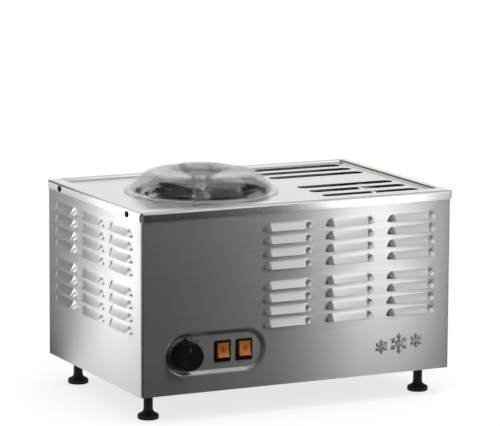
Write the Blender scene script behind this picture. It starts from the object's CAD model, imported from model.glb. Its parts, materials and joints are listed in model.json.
"""Counter-top self-refrigerating ice cream maker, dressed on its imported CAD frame.

Every class below is one sub-assembly of the machine. Lengths are in millimetres in the
machine's own drawing frame (front towards -Y, floor at z = 0) until MeshDraft.build turns
them into metres in the row frame.
"""

import json
import logging
import math
from collections.abc import Callable
from dataclasses import dataclass, field
from enum import Enum

import bmesh
import bpy
from mathutils import Euler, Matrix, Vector
from mathutils.geometry import tessellate_polygon

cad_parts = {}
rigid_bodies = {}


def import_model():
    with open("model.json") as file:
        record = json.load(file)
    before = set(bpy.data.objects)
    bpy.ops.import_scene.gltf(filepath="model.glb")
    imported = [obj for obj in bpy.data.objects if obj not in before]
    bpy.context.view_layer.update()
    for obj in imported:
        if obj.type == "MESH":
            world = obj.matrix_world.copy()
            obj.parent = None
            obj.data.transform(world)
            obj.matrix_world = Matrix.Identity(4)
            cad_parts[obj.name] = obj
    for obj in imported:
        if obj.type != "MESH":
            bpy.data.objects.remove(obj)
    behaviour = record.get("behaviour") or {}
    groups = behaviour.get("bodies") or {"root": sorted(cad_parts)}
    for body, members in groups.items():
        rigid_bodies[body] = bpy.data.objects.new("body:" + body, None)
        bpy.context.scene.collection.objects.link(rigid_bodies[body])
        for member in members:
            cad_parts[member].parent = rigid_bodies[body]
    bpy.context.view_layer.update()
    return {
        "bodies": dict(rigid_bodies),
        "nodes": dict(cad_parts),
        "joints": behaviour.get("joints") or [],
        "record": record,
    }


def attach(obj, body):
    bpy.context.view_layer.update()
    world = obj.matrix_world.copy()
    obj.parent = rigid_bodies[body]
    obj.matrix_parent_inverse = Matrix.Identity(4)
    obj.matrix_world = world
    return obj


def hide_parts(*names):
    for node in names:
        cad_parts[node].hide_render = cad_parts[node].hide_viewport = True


LOG = logging.getLogger("ice_cream_maker")
Point = tuple[float, float, float]
Point2 = tuple[float, float]
Colour = tuple[float, float, float, float]
RadiusWave = Callable[[float, int], float]
WallPoint = Callable[[float, float, float], Point]
MaterialParts = tuple[bpy.types.Material, bpy.types.NodeTree, bpy.types.Node]

MM = 0.001     # one millimetre of the drawing, in the row frame's metres
Y_SHIFT = 7.5  # the drawing frame's y = 0 lies this far behind the row's origin
TAU = 2.0 * math.pi
UPRIGHT = Euler((math.radians(90.0), 0.0, 0.0))  # lays a piece drawn along +Z along -Y
SHARP_DEG = 38.0   # edges sharper than this stay sharp
ROUND_DEG = 30.0   # edges sharper than this are rounded on a drawn piece

# Places that more than one sub-assembly uses.
BOWL_AXIS: Point2 = (-69.0, 0.0)
KNOB_AT: Point2 = (-161.4, 87.0)
SWITCHES: tuple[tuple[float, str], ...] = ((-108.3, "left"), (-77.6, "right"))


# ------------------------------------------------------------------------------ colour and nodes
def srgb(code: str) -> Colour:
    """Turns an sRGB hex colour into linear RGBA.

    Args:
        code: six hex digits, such as "D7DAD6".

    Returns:
        The linear colour, opaque.
    """
    channels = [int(code[i:i + 2], 16) / 255.0 for i in (0, 2, 4)]
    linear = [c / 12.92 if c <= 0.04045 else ((c + 0.055) / 1.055) ** 2.4 for c in channels]
    return (linear[0], linear[1], linear[2], 1.0)


def add_node(tree: bpy.types.NodeTree, kind: str, links: dict | None = None,
             **settings: object) -> bpy.types.Node:
    """Adds one shader node with its settings and its incoming links.

    Args:
        tree: the node tree to add to.
        kind: the node's type name.
        links: input socket name or index to the output socket that feeds it.
        settings: node attributes, input sockets written with spaces as underscores, or a
            colour ramp's two stops as pairs of position and sRGB hex colour.

    Returns:
        The new node.
    """
    node = tree.nodes.new(kind)
    for name, value in settings.items():
        if name == "stops":
            for element, (position, code) in zip(node.color_ramp.elements, value):
                element.position, element.color = position, srgb(code)
        elif hasattr(node, name):
            setattr(node, name, value)
        else:
            node.inputs[name.replace("_", " ")].default_value = value
    for name, source in (links or {}).items():
        tree.links.new(source, node.inputs[name])
    return node


def fresh_material(name: str, **settings: object) -> MaterialParts:
    """Makes an empty node material with a Principled shader on its output.

    Args:
        name: the material's name.
        settings: values of the Principled shader's sockets.

    Returns:
        The material, its node tree and its Principled node.
    """
    material = bpy.data.materials.new(name)
    material.use_nodes = True
    tree = material.node_tree
    tree.nodes.clear()
    shader = add_node(tree, "ShaderNodeBsdfPrincipled", **settings)
    add_node(tree, "ShaderNodeOutputMaterial", {"Surface": shader.outputs[0]})
    return material, tree, shader


def shade(code: str, factor: float) -> str:
    """Darkens or lightens an sRGB hex colour.

    Args:
        code: six hex digits.
        factor: multiplier of each channel.

    Returns:
        The new hex colour.
    """
    return "".join(f"{max(0, min(255, round(int(code[i:i + 2], 16) * factor))):02X}" for i in (0, 2, 4))


def per_metre(size_mm: float) -> float:
    """Noise scale, in repeats per metre, of a pattern with the given real size."""
    return 1000.0 / size_mm


# ------------------------------------------------------------------------------ finishes
class Grain(Enum):
    """Direction of a worked metal's scratches."""

    ALONG_X = "along_x"
    ALL_ROUND = "all_round"


@dataclass(frozen=True)
class SheetSteel:
    """Stainless steel sheet, brushed or polished: a clean grey mirror broken by fine parallel scratches."""

    name: str
    tint: str = "CFD0CE"
    roughness: float = 0.28
    anisotropy: float = 0.6
    rotation: float = 0.0
    grain: Grain = Grain.ALONG_X
    scratch_mm: float = 0.9   # real scratches are about 0.1 mm apart; drawn coarser so that they show
    length_mm: float = 90.0
    relief: float = 0.02
    smudge_mm: float = 1000.0 / 14.0   # hand marks and wipe marks, about 71 mm across

    def stretch(self) -> Point:
        """Scale along X, Y and Z that draws even noise out along the grain."""
        across, along = per_metre(self.scratch_mm), per_metre(self.length_mm)
        return (along if self.grain is Grain.ALONG_X else across, across, across)

    def make(self) -> bpy.types.Material:
        """Builds the node material.

        Returns:
            The material.
        """
        material, tree, shader = fresh_material(
            self.name, Metallic=1.0, Anisotropic=self.anisotropy, Anisotropic_Rotation=self.rotation)
        at = add_node(tree, "ShaderNodeTexCoord").outputs["Object"]
        drawn_out = add_node(tree, "ShaderNodeMapping", {"Vector": at}, Scale=self.stretch())
        scratches = add_node(tree, "ShaderNodeTexNoise", {"Vector": drawn_out.outputs[0]},
                             Scale=1.0, Detail=3.0, Roughness=0.6)
        smudges = add_node(tree, "ShaderNodeTexNoise", {"Vector": at}, Scale=per_metre(self.smudge_mm),
                           Detail=3.0)
        tone = add_node(tree, "ShaderNodeValToRGB", {0: scratches.outputs["Fac"]},
                        stops=((0.25, shade(self.tint, 0.93)), (0.75, self.tint)))
        tree.links.new(tone.outputs[0], shader.inputs["Base Color"])
        spread = add_node(tree, "ShaderNodeMath", {0: smudges.outputs["Fac"]}, operation="MULTIPLY_ADD")
        spread.inputs[1].default_value = 0.03
        spread.inputs[2].default_value = self.roughness - 0.015
        tree.links.new(spread.outputs[0], shader.inputs["Roughness"])
        bump = add_node(tree, "ShaderNodeBump", {"Height": scratches.outputs["Fac"]},
                        Strength=self.relief, Distance=0.0002)
        tree.links.new(bump.outputs[0], shader.inputs["Normal"])
        return material


@dataclass(frozen=True)
class CastMetal:
    """Plated, cast or drawn metal: duller than sheet, with a faint mottle from plating or handling."""

    name: str
    tint: str
    dark: str
    roughness: float = 0.4
    mottle_mm: float = 6.0   # the finest mottle; the noise is drawn four times as large and broken down

    def make(self) -> bpy.types.Material:
        """Builds the node material.

        Returns:
            The material.
        """
        material, tree, shader = fresh_material(self.name, Metallic=1.0, Roughness=self.roughness)
        at = add_node(tree, "ShaderNodeTexCoord").outputs["Object"]
        noise = add_node(tree, "ShaderNodeTexNoise", {"Vector": at}, Scale=per_metre(4.0 * self.mottle_mm),
                         Detail=4.0)
        tone = add_node(tree, "ShaderNodeValToRGB", {0: noise.outputs["Fac"]},
                        stops=((0.3, self.dark), (0.7, self.tint)))
        tree.links.new(tone.outputs[0], shader.inputs["Base Color"])
        bump = add_node(tree, "ShaderNodeBump", {"Height": noise.outputs["Fac"]}, Strength=0.08,
                        Distance=0.0003)
        tree.links.new(bump.outputs[0], shader.inputs["Normal"])
        return material


@dataclass(frozen=True)
class MouldedPlastic:
    """Moulded plastic or rubber: even colour, soft gloss and the fine spark-eroded grain of the mould."""

    name: str
    tint: str
    dark: str
    roughness: float = 0.4
    grain_mm: float = 0.6   # mould grain is about 0.05 mm; drawn coarser so that it shows
    relief: float = 0.12
    coat: float = 0.0
    glow: float = 0.0
    subsurface: float = 0.0
    gloss: float = 0.5
    flow_mm: float = 1000.0 / 60.0   # slow change of tone as the melt filled the mould, about 17 mm

    def make(self) -> bpy.types.Material:
        """Builds the node material.

        Returns:
            The material.
        """
        material, tree, shader = fresh_material(
            self.name, Roughness=self.roughness, IOR=1.52, Specular_IOR_Level=self.gloss,
            Coat_Weight=self.coat, Coat_Roughness=0.08)
        at = add_node(tree, "ShaderNodeTexCoord").outputs["Object"]
        fine = add_node(tree, "ShaderNodeTexNoise", {"Vector": at}, Scale=per_metre(self.grain_mm),
                        Detail=2.0)
        broad = add_node(tree, "ShaderNodeTexNoise", {"Vector": at}, Scale=per_metre(self.flow_mm),
                         Detail=3.0)
        tone = add_node(tree, "ShaderNodeValToRGB", {0: broad.outputs["Fac"]},
                        stops=((0.3, self.dark), (0.7, self.tint)))
        tree.links.new(tone.outputs[0], shader.inputs["Base Color"])
        bump = add_node(tree, "ShaderNodeBump", {"Height": fine.outputs["Fac"]},
                        Strength=self.relief, Distance=0.00005)
        tree.links.new(bump.outputs[0], shader.inputs["Normal"])
        if self.glow > 0.0:
            shader.inputs["Emission Color"].default_value = srgb(self.tint)
            shader.inputs["Emission Strength"].default_value = self.glow
        if self.subsurface > 0.0:
            shader.inputs["Subsurface Weight"].default_value = self.subsurface
            shader.inputs["Subsurface Scale"].default_value = 0.002
        return material


@dataclass(frozen=True)
class ClearPlastic:
    """Clear acrylic, injection moulded: colourless with a faint green-grey body and a hard gloss."""

    name: str
    tint: str = "FDFEFD"
    roughness: float = 0.02
    solidity: float = 0.35   # share of the light that meets the plastic's full refraction
    ripple_mm: float = 40.0  # slow swell of a moulded dome, seen as bent reflections

    def make(self) -> bpy.types.Material:
        """Builds the node material.

        Returns:
            The material.
        """
        material, tree, shader = fresh_material(
            self.name, Base_Color=srgb(self.tint), Roughness=self.roughness, IOR=1.49,
            Transmission_Weight=1.0, Alpha=self.solidity)
        at = add_node(tree, "ShaderNodeTexCoord").outputs["Object"]
        flow = add_node(tree, "ShaderNodeTexNoise", {"Vector": at}, Scale=per_metre(self.ripple_mm),
                        Detail=1.0)
        bump = add_node(tree, "ShaderNodeBump", {"Height": flow.outputs["Fac"]}, Strength=0.03,
                        Distance=0.0008)
        tree.links.new(bump.outputs[0], shader.inputs["Normal"])
        return material


class Finishes:
    """The machine's set of materials, each made once."""

    def __init__(self) -> None:
        """Builds every finish."""
        # Brushed along its length: reflections spread up and down into soft upright bands.
        self.front_steel = SheetSteel("brushed_stainless", roughness=0.315, anisotropy=0.93,
                                      rotation=0.25).make()
        # Satin rolled sheet: a clear but softened mirror of whatever stands around it.
        self.cover_steel = SheetSteel("satin_stainless", tint="D6D7D4", roughness=0.17, anisotropy=0.0,
                                      scratch_mm=1.2, relief=0.01).make()
        # Buffed bright: near-black and near-white reflections side by side.
        self.polished = SheetSteel("polished_stainless", tint="DADCD9", roughness=0.1, anisotropy=0.0,
                                   scratch_mm=1.6, relief=0.006).make()
        # Spun over a former: bright, with faint tool marks and no one direction.
        self.bowl_steel = SheetSteel("spun_stainless", tint="D4D6D5", roughness=0.12, anisotropy=0.0,
                                     grain=Grain.ALL_ROUND, scratch_mm=2.0, relief=0.02).make()
        # Zinc plated: cool dull grey with a faint mottle.
        self.zinc = CastMetal("zinc_plated_steel", "A9ADB0", "8C9094", 0.38).make()
        # Cut by the shear and left raw: a thin dark rough line round the sheet.
        self.sheared = CastMetal("sheared_stainless_edge", "4A4A48", "2E2E2C", 0.5, 3.0).make()
        # Black oxide: nearly black with a small metallic highlight.
        self.screw = CastMetal("black_oxide_screw", "1E1E1F", "121213", 0.35, 3.0).make()
        # Mill finish: pale, even and half matt.
        self.aluminium = CastMetal("mill_aluminium", "C2C5C8", "A5A9AD", 0.36, 4.0).make()
        # Drawn tube: warm and smooth, darker where it was handled.
        self.copper = CastMetal("drawn_copper", "C98258", "A8623C", 0.28, 9.0).make()
        # Pressed from powder: dull brown-gold, speckled.
        self.bronze = CastMetal("sintered_bronze", "A8834C", "866232", 0.45, 2.0).make()
        # Moulded, lightly grained: black with a weak broad sheen.
        self.black = MouldedPlastic("black_abs", "060606", "040404", 0.5, gloss=0.22).make()
        # Moulded rubber: black and almost without shine.
        self.rubber = MouldedPlastic("nitrile_rubber", "0A0A0A", "060606", 0.6, 0.9, 0.2, gloss=0.25).make()
        # Stoved paint: black under a smooth glossy film.
        self.enamel = MouldedPlastic("black_stoving_enamel", "1C1D1F", "151617", 0.28, 1.6, 0.3,
                                     coat=0.4).make()
        # Tinted through and lit from within by scattering: deep amber with a soft gloss.
        self.orange = MouldedPlastic("amber_polycarbonate", "9A5200", "7C4000", 0.3, 2.0, 0.05, coat=0.25,
                                     glow=0.03, subsurface=0.15).make()
        # Natural acetal: milky white, waxy.
        self.white = MouldedPlastic("white_acetal", "E4E2DB", "D8D5CC", 0.42, 0.9, 0.1, subsurface=0.1).make()
        # Poured and foamed in place: matt yellow with an open, pitted skin.
        self.foam = MouldedPlastic("polyurethane_foam", "DCCB96", "C4AE74", 0.95, 1.4, 0.9).make()
        # Woven sleeve: matt blue-grey with a coarse ribbed surface.
        self.sleeve = MouldedPlastic("braided_sleeving", "333B42", "20262B", 0.7, 1.2, 0.6).make()
        # Filled engraving: flat grey, only just lighter than the knob.
        self.grey_ink = MouldedPlastic("grey_marking_ink", "3A3A3A", "2C2C2C", 0.6, 1.0, 0.02).make()
        # Pad-printed: a flat black film.
        self.ink = MouldedPlastic("printing_ink", "0B0B0C", "060607", 0.5, 1.0, 0.02).make()
        # Injection moulded clear: seen by its edges and highlights.
        self.clear = ClearPlastic("clear_acrylic").make()


# ------------------------------------------------------------------------------ mesh tools
def to_row(p: Point) -> Vector:
    """Turns a drawing point in millimetres into the row frame in metres."""
    return Vector((p[0], p[1] + Y_SHIFT, p[2])) * MM


def linked(name: str, data: bpy.types.ID) -> bpy.types.Object:
    """Makes an object of some data and puts it in the scene.

    Args:
        name: the object's name.
        data: its mesh, curve, light or camera.

    Returns:
        The object.
    """
    obj = bpy.data.objects.new(name, data)
    bpy.context.scene.collection.objects.link(obj)
    return obj


def applied_mesh(obj: bpy.types.Object) -> bpy.types.Mesh:
    """The mesh that an object has once its modifiers or curve settings are applied.

    Args:
        obj: an object in the scene.

    Returns:
        A new mesh; the object is left as it was.
    """
    bpy.context.view_layer.update()
    return bpy.data.meshes.new_from_object(obj.evaluated_get(bpy.context.evaluated_depsgraph_get()))


def round_edges(obj: bpy.types.Object, width: float, segments: int, above_deg: float) -> None:
    """Adds a rounding to an object's edges.

    Args:
        obj: the object.
        width: the rounding's width in millimetres.
        segments: faces across each rounded edge.
        above_deg: edges sharper than this are rounded.
    """
    rounding = obj.modifiers.new("rounding", "BEVEL")
    rounding.width = width * MM
    rounding.segments = segments
    rounding.limit_method = "ANGLE"
    rounding.angle_limit = math.radians(above_deg)


@dataclass
class MeshDraft:
    """Points and faces of one piece while it is being drawn, in millimetres."""

    points: list[Point] = field(default_factory=list)
    faces: list[tuple[int, ...]] = field(default_factory=list)

    def ring(self, points: list[Point]) -> list[int]:
        """Adds points.

        Args:
            points: the points, in millimetres.

        Returns:
            Their numbers.
        """
        start = len(self.points)
        self.points.extend(points)
        return list(range(start, start + len(points)))

    def face(self, corners: list[int]) -> None:
        """Adds a face, leaving out repeated corners.

        Args:
            corners: point numbers in order.
        """
        kept = [c for i, c in enumerate(corners) if c != corners[i - 1]]
        if len(set(kept)) >= 3:
            self.faces.append(tuple(kept))

    def bridge(self, low: list[int], high: list[int], closed: bool = True,
               skip: set[int] | None = None) -> None:
        """Joins two rings of equal length with quads.

        Args:
            low: the first ring's point numbers.
            high: the second ring's point numbers.
            closed: whether the rings close on themselves.
            skip: segment numbers to leave open.
        """
        count = len(low) if closed else len(low) - 1
        for i in range(count):
            if skip and i in skip:
                continue
            j = (i + 1) % len(low)
            self.face([low[i], low[j], high[j], high[i]])

    def fill(self, outer: list[int], holes: list[list[int]] | None = None) -> None:
        """Fills a flat outline that may have holes with triangles.

        Args:
            outer: point numbers of the outline.
            holes: point numbers of each hole.
        """
        loops = [outer] + (holes or [])
        flat = [i for loop in loops for i in loop]
        for tri in tessellate_polygon([[Vector(self.points[i]) for i in loop] for loop in loops]):
            self.face([flat[k] for k in tri])

    def turned(self, profile: list[Point2], centre: Point2, segments: int,
               wave: RadiusWave | None = None) -> None:
        """Adds a surface of revolution about a vertical axis; profile points are (radius, z).

        Args:
            profile: radius and height of each ring, from one end to the other.
            centre: x and y of the axis.
            segments: points round each ring.
            wave: optional function of (angle, ring number) that gives a radius factor.
        """
        previous: list[int] = []
        for k, (radius, z) in enumerate(profile):
            if radius < 1e-6:
                ring = self.ring([(centre[0], centre[1], z)]) * segments
            else:
                ring = self.ring([
                    (centre[0] + radius * (wave(a, k) if wave else 1.0) * math.cos(a),
                     centre[1] + radius * (wave(a, k) if wave else 1.0) * math.sin(a), z)
                    for a in (TAU * i / segments for i in range(segments))
                ])
            if previous:
                self.bridge(previous, ring)
            previous = ring

    def prism(self, outline: list[Point2], low: float, high: float) -> None:
        """Adds a closed prism of an outline in X and Y.

        Args:
            outline: the outline's points.
            low: height of the lower face.
            high: height of the upper face.
        """
        a = self.ring([(x, y, low) for x, y in outline])
        b = self.ring([(x, y, high) for x, y in outline])
        self.bridge(a, b)
        self.fill(list(reversed(a)))
        self.fill(b)

    def moved(self, turn: Euler | None = None, shift: Point = (0.0, 0.0, 0.0)) -> "MeshDraft":
        """Turns a copy about the drawing origin and then shifts it.

        Args:
            turn: the turn; none if left out.
            shift: the shift in millimetres.

        Returns:
            The copy.
        """
        matrix = (turn or Euler((0.0, 0.0, 0.0))).to_matrix()
        points = [tuple(matrix @ Vector(p) + Vector(shift)) for p in self.points]
        return MeshDraft(points, list(self.faces))

    def add(self, other: "MeshDraft") -> "MeshDraft":
        """Takes in another draft's points and faces.

        Args:
            other: the draft to take in.

        Returns:
            This draft.
        """
        start = len(self.points)
        self.points.extend(other.points)
        self.faces.extend(tuple(i + start for i in f) for f in other.faces)
        return self

    def build(self, name: str, material: bpy.types.Material, thick: float = 0.0, bevel: float = 0.0,
              smooth_deg: float = SHARP_DEG, weld: float = 0.001,
              edge: bpy.types.Material | None = None) -> bpy.types.Object:
        """Turns the draft into a finished Blender object.

        Args:
            name: the piece's name.
            material: its finish.
            thick: sheet thickness in millimetres, laid on the inner side; 0 for a solid.
            bevel: edge rounding in millimetres; 0 for none.
            smooth_deg: edges sharper than this stay sharp.
            weld: distance in millimetres under which points are merged.
            edge: the finish of a sheet's sheared edges.

        Returns:
            The object.
        """
        mesh = bpy.data.meshes.new(name)
        mesh.from_pydata([to_row(p) for p in self.points], [], self.faces)
        bm = bmesh.new()
        bm.from_mesh(mesh)
        bmesh.ops.remove_doubles(bm, verts=bm.verts, dist=weld * MM)
        bmesh.ops.recalc_face_normals(bm, faces=bm.faces)
        bm.to_mesh(mesh)
        bm.free()
        return finish_object(name, mesh, material, thick, bevel, smooth_deg, edge)


def finish_object(name: str, mesh: bpy.types.Mesh, material: bpy.types.Material, thick: float = 0.0,
                  bevel: float = 0.0, smooth_deg: float = SHARP_DEG,
                  edge: bpy.types.Material | None = None) -> bpy.types.Object:
    """Applies sheet thickness and edge rounding, then sets smooth shading.

    Args:
        name: the piece's name.
        mesh: its mesh, in metres.
        material: its finish.
        thick: sheet thickness in millimetres.
        bevel: edge rounding in millimetres.
        smooth_deg: edges sharper than this stay sharp.
        edge: the finish of a sheet's sheared edges.

    Returns:
        The object, with its shape modifiers applied.
    """
    obj = linked(name, mesh)
    if thick > 0.0:
        solidify = obj.modifiers.new("sheet", "SOLIDIFY")
        solidify.thickness = thick * MM
        solidify.offset = -1.0
        solidify.use_even_offset = True
        solidify.thickness_clamp = 2.0
        solidify.material_offset_rim = 1
        mesh.materials.append(material)
        mesh.materials.append(edge or material)
    if bevel > 0.0:
        round_edges(obj, bevel, 3, ROUND_DEG)
    if obj.modifiers:
        applied = applied_mesh(obj)
        obj.modifiers.clear()
        obj.data = applied
    data = obj.data
    data.name = name
    data.materials.clear()
    data.materials.append(material)
    if edge and thick > 0.0:
        data.materials.append(edge)
    data.polygons.foreach_set("use_smooth", [True] * len(data.polygons))
    data.set_sharp_from_angle(angle=math.radians(smooth_deg))
    weighted = obj.modifiers.new("flat faces lead", "WEIGHTED_NORMAL")
    weighted.keep_sharp = True
    return obj


def rounded_rect(x0: float, x1: float, y0: float, y1: float, radius: float, z: float,
                 steps: int = 6) -> list[Point]:
    """Points of a rectangle with round corners, anticlockwise from the lower right corner's start.

    Args:
        x0, x1, y0, y1: the rectangle.
        radius: the corner radius.
        z: the height.
        steps: segments per corner.

    Returns:
        Four corners of steps + 1 points each.
    """
    r = max(radius, 0.01)
    points: list[Point] = []
    for cx, cy, start in ((x1 - r, y0 + r, -90.0), (x1 - r, y1 - r, 0.0), (x0 + r, y1 - r, 90.0),
                          (x0 + r, y0 + r, 180.0)):
        for i in range(steps + 1):
            a = math.radians(start + 90.0 * i / steps)
            points.append((cx + r * math.cos(a), cy + r * math.sin(a), z))
    return points


def stadium(cx: float, cy: float, width: float, height: float, steps: int = 14) -> list[Point2]:
    """Outline of a slot with round ends, width along the first axis.

    Args:
        cx: the middle along the first axis.
        cy: the middle along the second axis.
        width: overall width.
        height: overall height.
        steps: segments per round end.

    Returns:
        The outline's points, right end first.
    """
    r = height / 2.0
    half = width / 2.0 - r
    turns = [math.pi * (i / steps - 0.5) for i in range(steps + 1)]
    right = [(cx + half + r * math.cos(a), cy + r * math.sin(a)) for a in turns]
    left = [(cx - half - r * math.cos(a), cy - r * math.sin(a)) for a in turns]
    return right + left


def circle(cx: float, cy: float, radius: float, steps: int) -> list[Point2]:
    """Outline of a circle."""
    return [(cx + radius * math.cos(TAU * i / steps), cy + radius * math.sin(TAU * i / steps))
            for i in range(steps)]


def smooth_line(points: list[Point2], per_span: int) -> list[Point2]:
    """Rounds a list of profile points into a Catmull-Rom curve.

    Args:
        points: the guide points.
        per_span: samples between two guide points.

    Returns:
        The sampled profile.
    """
    out: list[Point2] = []
    n = len(points)
    for i in range(n - 1):
        p = [points[max(0, min(n - 1, i + k))] for k in (-1, 0, 1, 2)]
        for s in range(per_span):
            t = s / per_span
            out.append(tuple(
                0.5 * (2 * p[1][d] + (p[2][d] - p[0][d]) * t
                       + (2 * p[0][d] - 5 * p[1][d] + 4 * p[2][d] - p[3][d]) * t * t
                       + (3 * p[1][d] - p[0][d] - 3 * p[2][d] + p[3][d]) * t ** 3) for d in (0, 1)))
    out.append(points[-1])
    return out


def sweep(name: str, points: list[Point], radius: float, material: bpy.types.Material) -> bpy.types.Object:
    """Draws a round tube along a smooth curve, with closed ends.

    Args:
        name: the piece's name.
        points: points that guide the tube's middle line.
        radius: the tube's radius in millimetres.
        material: its finish.

    Returns:
        The object.
    """
    curve = bpy.data.curves.new(name, "CURVE")
    curve.dimensions = "3D"
    curve.resolution_u = 8
    curve.bevel_depth = radius * MM
    curve.bevel_resolution = 5
    curve.use_fill_caps = True
    spline = curve.splines.new("NURBS")
    spline.points.add(len(points) - 1)
    for target, p in zip(spline.points, points):
        target.co = (*to_row(p), 1.0)
    spline.order_u = 4
    spline.use_endpoint_u = True
    obj = linked(name, curve)
    mesh = applied_mesh(obj)
    bpy.data.objects.remove(obj)
    return finish_object(name, mesh, material, smooth_deg=50.0)


@dataclass
class Assembly:
    """Common work of every sub-assembly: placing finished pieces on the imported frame."""

    fin: Finishes
    frame: dict

    def place(self, obj: bpy.types.Object, body: str, slot: str, *nodes: str) -> bpy.types.Object:
        """Rides a piece on its body, names its slot and hides the CAD nodes that it stands for.

        Args:
            obj: the finished piece.
            body: the body that it moves with.
            slot: its material slot.
            nodes: the CAD nodes that it replaces; none for a detail.

        Returns:
            The piece.
        """
        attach(obj, body)
        if nodes:
            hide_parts(*nodes)
        LOG.info("piece %s on %s for %s", obj.name, body, ", ".join(nodes) or "detail")
        return obj

    def dress(self, node: str, material: bpy.types.Material, bevel: float = 0.0) -> None:
        """Gives a CAD node that stays its real finish and, if asked, softened edges.

        Args:
            node: the CAD node's name.
            material: its finish.
            bevel: edge rounding in millimetres; 0 for none.
        """
        obj = self.frame["nodes"][node]
        obj.data.materials.clear()
        obj.data.materials.append(material)
        if bevel > 0.0:
            round_edges(obj, bevel, 2, 35.0)
        LOG.info("dressed %s with %s", node, material.name)


# ------------------------------------------------------------------------------ top cover
@dataclass
class TopCover(Assembly):
    """Pressed and folded stainless cover: a shallow tray with vent slots and the bowl's opening."""

    half_w: float = 225.0
    half_d: float = 152.5
    top: float = 274.0
    flange_z: float = 262.0
    bend_r: float = 3.7
    tray_depth: float = 3.7
    sheet: float = 1.4
    opening_r: float = 87.4
    slot_x: float = 128.25
    slot_w: float = 141.5
    slot_d: float = 19.0
    rim: tuple[float, float, float, float] = (-210.0, 215.4, -129.8, 143.3)
    # the tray's wall from the floor up: inset from the rim, depth below the top
    wall: tuple[Point2, ...] = ((3.6, 3.7), (2.6, 3.65), (2.0, 3.4), (1.6, 2.9), (1.3, 2.0), (1.0, 0.8),
                                (0.75, 0.35), (0.4, 0.08), (0.0, 0.0))
    slots_y: tuple[float, ...] = (-103.0, -66.0, -31.5, 53.0, 87.0, 120.5)

    def build(self) -> None:
        """Builds the cover sheet: tray wall, rounded edge and flange, open at the flange's corners."""
        d = MeshDraft()
        x0, x1, y0, y1 = self.rim
        rings: list[list[int]] = []
        for inset, depth in self.wall:
            rings.append(d.ring(rounded_rect(x0 + inset, x1 - inset, y0 + inset, y1 - inset,
                                             5.0 - 0.6 * inset, self.top - depth)))
        edge = self.bend_r
        for k in range(7):
            a = math.radians(15.0 * k)
            out = edge * math.sin(a)
            bx, by = self.half_w - edge + out, self.half_d - edge + out
            rings.append(d.ring(rounded_rect(-bx, bx, -by, by, 0.35 + out,
                                             self.top - edge * (1.0 - math.cos(a)))))
        rings.append(d.ring(rounded_rect(-self.half_w, self.half_w, -self.half_d, self.half_d, 0.35 + edge,
                                         self.flange_z)))
        for k in range(len(rings) - 2):
            d.bridge(rings[k], rings[k + 1])
        corners = {c * 7 + i for c in range(4) for i in range(6)}
        d.bridge(rings[-2], rings[-1], skip=corners)
        floor = self.top - self.tray_depth
        holes = [d.ring([(x, y, floor) for x, y in stadium(self.slot_x, mid, self.slot_w, self.slot_d)])
                 for mid in self.slots_y]
        holes.append(d.ring([(x, y, floor) for x, y in circle(*BOWL_AXIS, self.opening_r, 96)]))
        d.fill(rings[0], holes)
        obj = d.build("top_cover_sheet", self.fin.cover_steel, thick=self.sheet, smooth_deg=30.0,
                      edge=self.fin.sheared)
        self.place(obj, "case", "polished", "top_cover")


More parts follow.
